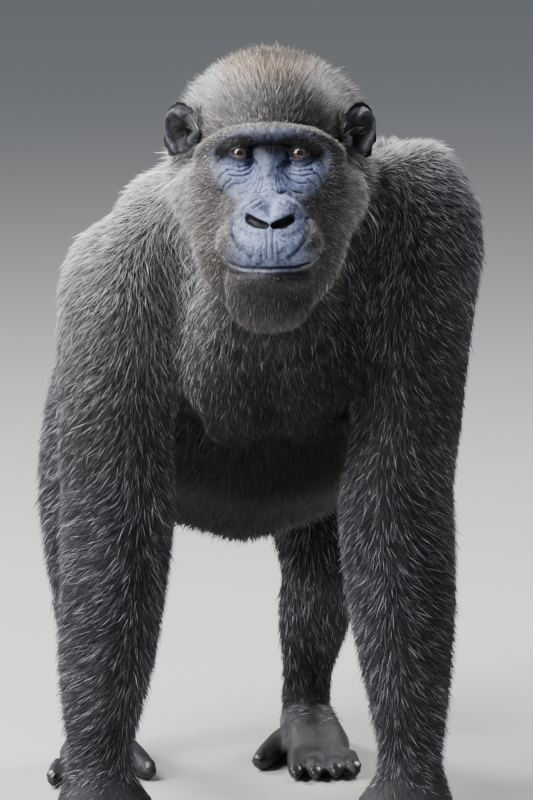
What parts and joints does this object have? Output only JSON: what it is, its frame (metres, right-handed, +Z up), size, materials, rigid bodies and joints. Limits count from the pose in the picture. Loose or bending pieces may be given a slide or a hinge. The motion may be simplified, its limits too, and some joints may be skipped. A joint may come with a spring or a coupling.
{
  "type": "gorilla",
  "caption": "Young male western lowland gorilla as a still, life-size model, standing on its knuckles and hind feet with its head raised and looking straight ahead.",
  "frame": {"origin": "on the floor, under the middle of the model's bounding box", "axes": "+Z up, -Y is where the gorilla looks, +X towards its left side"},
  "size_m": [0.5666, 1.0286, 1.0182],
  "materials": {
    "coat": "dense black-grey hair with a faint violet cast and pale tips",
    "head_coat": "short grey-brown hair, chestnut on the crown",
    "bare_skin": "bare slate-blue skin with fine creases and a soft sheen",
    "hand_skin": "bare near-black skin on knuckles, palms and soles",
    "eye": "wet red-brown eye with a dark surround",
    "nail": "smooth black horn"
  },
  "bodies": {
    "root": {"head": "head_coat", "jaw": "head_coat", "ear_left": "bare_skin", "ear_right": "bare_skin", "eye_left": "eye", "eye_right": "eye", "neck": "coat", "chest": "coat", "belly": "coat", "rump": "coat", "upper_arm_left": "coat", "upper_arm_right": "coat", "forearm_left": "coat", "forearm_right": "coat", "hand_left": "hand_skin", "hand_right": "hand_skin", "thigh_left": "coat", "thigh_right": "coat", "shank_left": "coat", "shank_right": "coat", "foot_left": "hand_skin", "foot_right": "hand_skin", "finger_nail_left_1": "nail", "finger_nail_left_2": "nail", "finger_nail_left_3": "nail", "finger_nail_left_4": "nail", "finger_nail_left_5": "nail", "finger_nail_right_1": "nail", "finger_nail_right_2": "nail", "finger_nail_right_3": "nail", "finger_nail_right_4": "nail", "finger_nail_right_5": "nail", "toe_nail_left_1": "nail", "toe_nail_left_2": "nail", "toe_nail_left_3": "nail", "toe_nail_left_4": "nail", "toe_nail_left_5": "nail", "toe_nail_right_1": "nail", "toe_nail_right_2": "nail", "toe_nail_right_3": "nail", "toe_nail_right_4": "nail", "toe_nail_right_5": "nail"}
  },
  "joints": []
}
